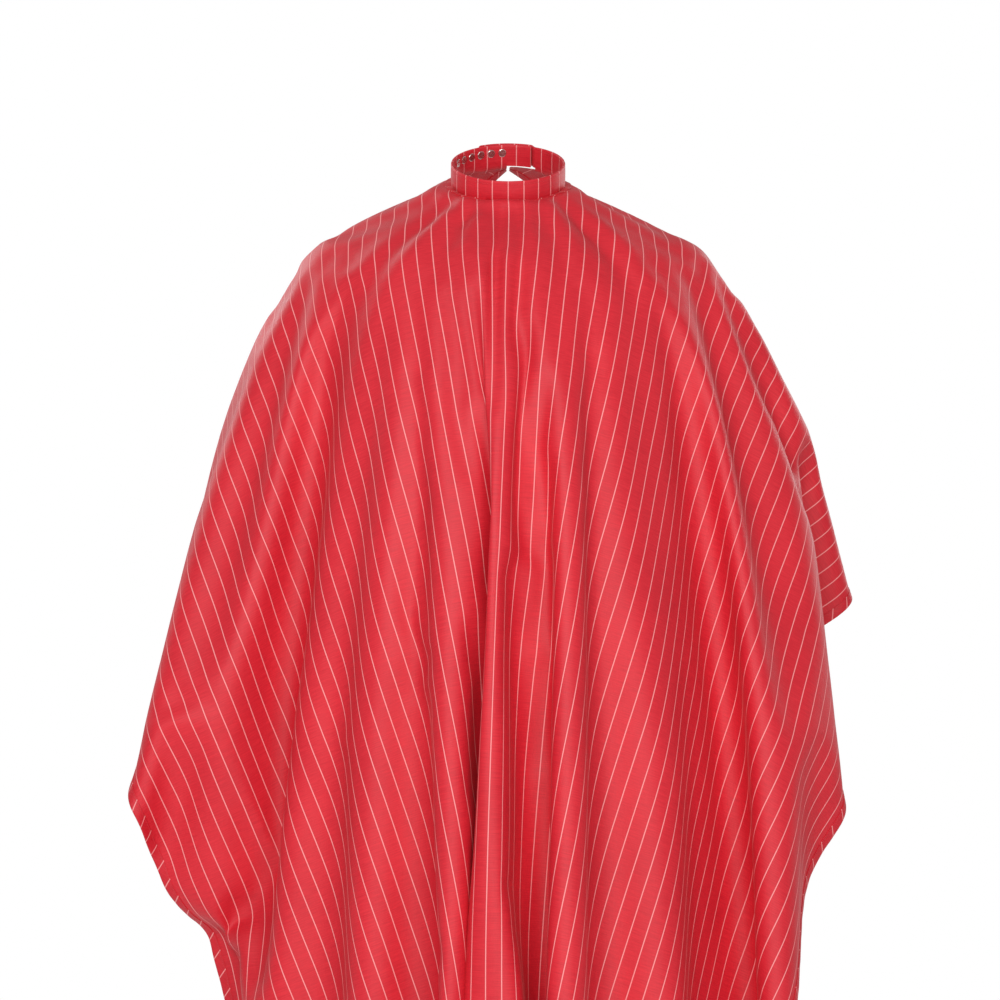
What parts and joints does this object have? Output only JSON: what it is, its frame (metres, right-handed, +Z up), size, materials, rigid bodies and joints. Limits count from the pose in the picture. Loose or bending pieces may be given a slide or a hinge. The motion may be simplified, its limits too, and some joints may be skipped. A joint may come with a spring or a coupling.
{
  "type": "barber cape",
  "caption": "Striped cloth cape for hair cutting, hanging as worn from a snap-closed neckband, with bound edges and an open back.",
  "frame": {"origin": "middle of the neck opening, at the seam between neckband and panel, where the wearer's neck holds the cape", "axes": "+Z up, the cape's front faces -Y, +X towards the wearer's left"},
  "size_m": [0.825, 0.5548, 1.4823],
  "materials": {
    "cape_fabric": "satin-woven polyester, red with thin pale pinstripes",
    "binding_fabric": "the same striped cloth cut on the bias and folded over the edge",
    "neckband_fabric": "the same striped cloth, folded and topstitched",
    "interfacing": "matte bonded fibre",
    "snap_metal": "bright nickel plate"
  },
  "bodies": {
    "cape": {"cape_panel": "cape_fabric", "top_binding_right": "binding_fabric", "side_binding_right": "binding_fabric", "bottom_binding": "binding_fabric", "side_binding_left": "binding_fabric", "top_binding_left": "binding_fabric", "neckband": "neckband_fabric", "neckband_interfacing": "interfacing", "snap_stud_1": "snap_metal", "snap_back_ring_1": "snap_metal", "snap_stud_2": "snap_metal", "snap_back_ring_2": "snap_metal", "snap_stud_3": "snap_metal", "snap_back_ring_3": "snap_metal", "snap_stud_4": "snap_metal", "snap_back_ring_4": "snap_metal", "snap_stud_5": "snap_metal", "snap_back_ring_5": "snap_metal", "snap_stud_6": "snap_metal", "snap_back_ring_6": "snap_metal"},
    "tab": {"closure_tab": "neckband_fabric", "closure_tab_interfacing": "interfacing", "snap_socket_1": "snap_metal", "snap_socket_2": "snap_metal", "snap_cap_1": "snap_metal", "snap_cap_2": "snap_metal"}
  },
  "joints": [
    {"name": "closure_tab_hinge", "type": "hinge", "parent": "cape", "child": "tab", "pos_m": [0.03319, 0.04648, 0.03745], "axis": [0, 0.4226, -0.9063], "range_deg": [0, 100]}
  ]
}
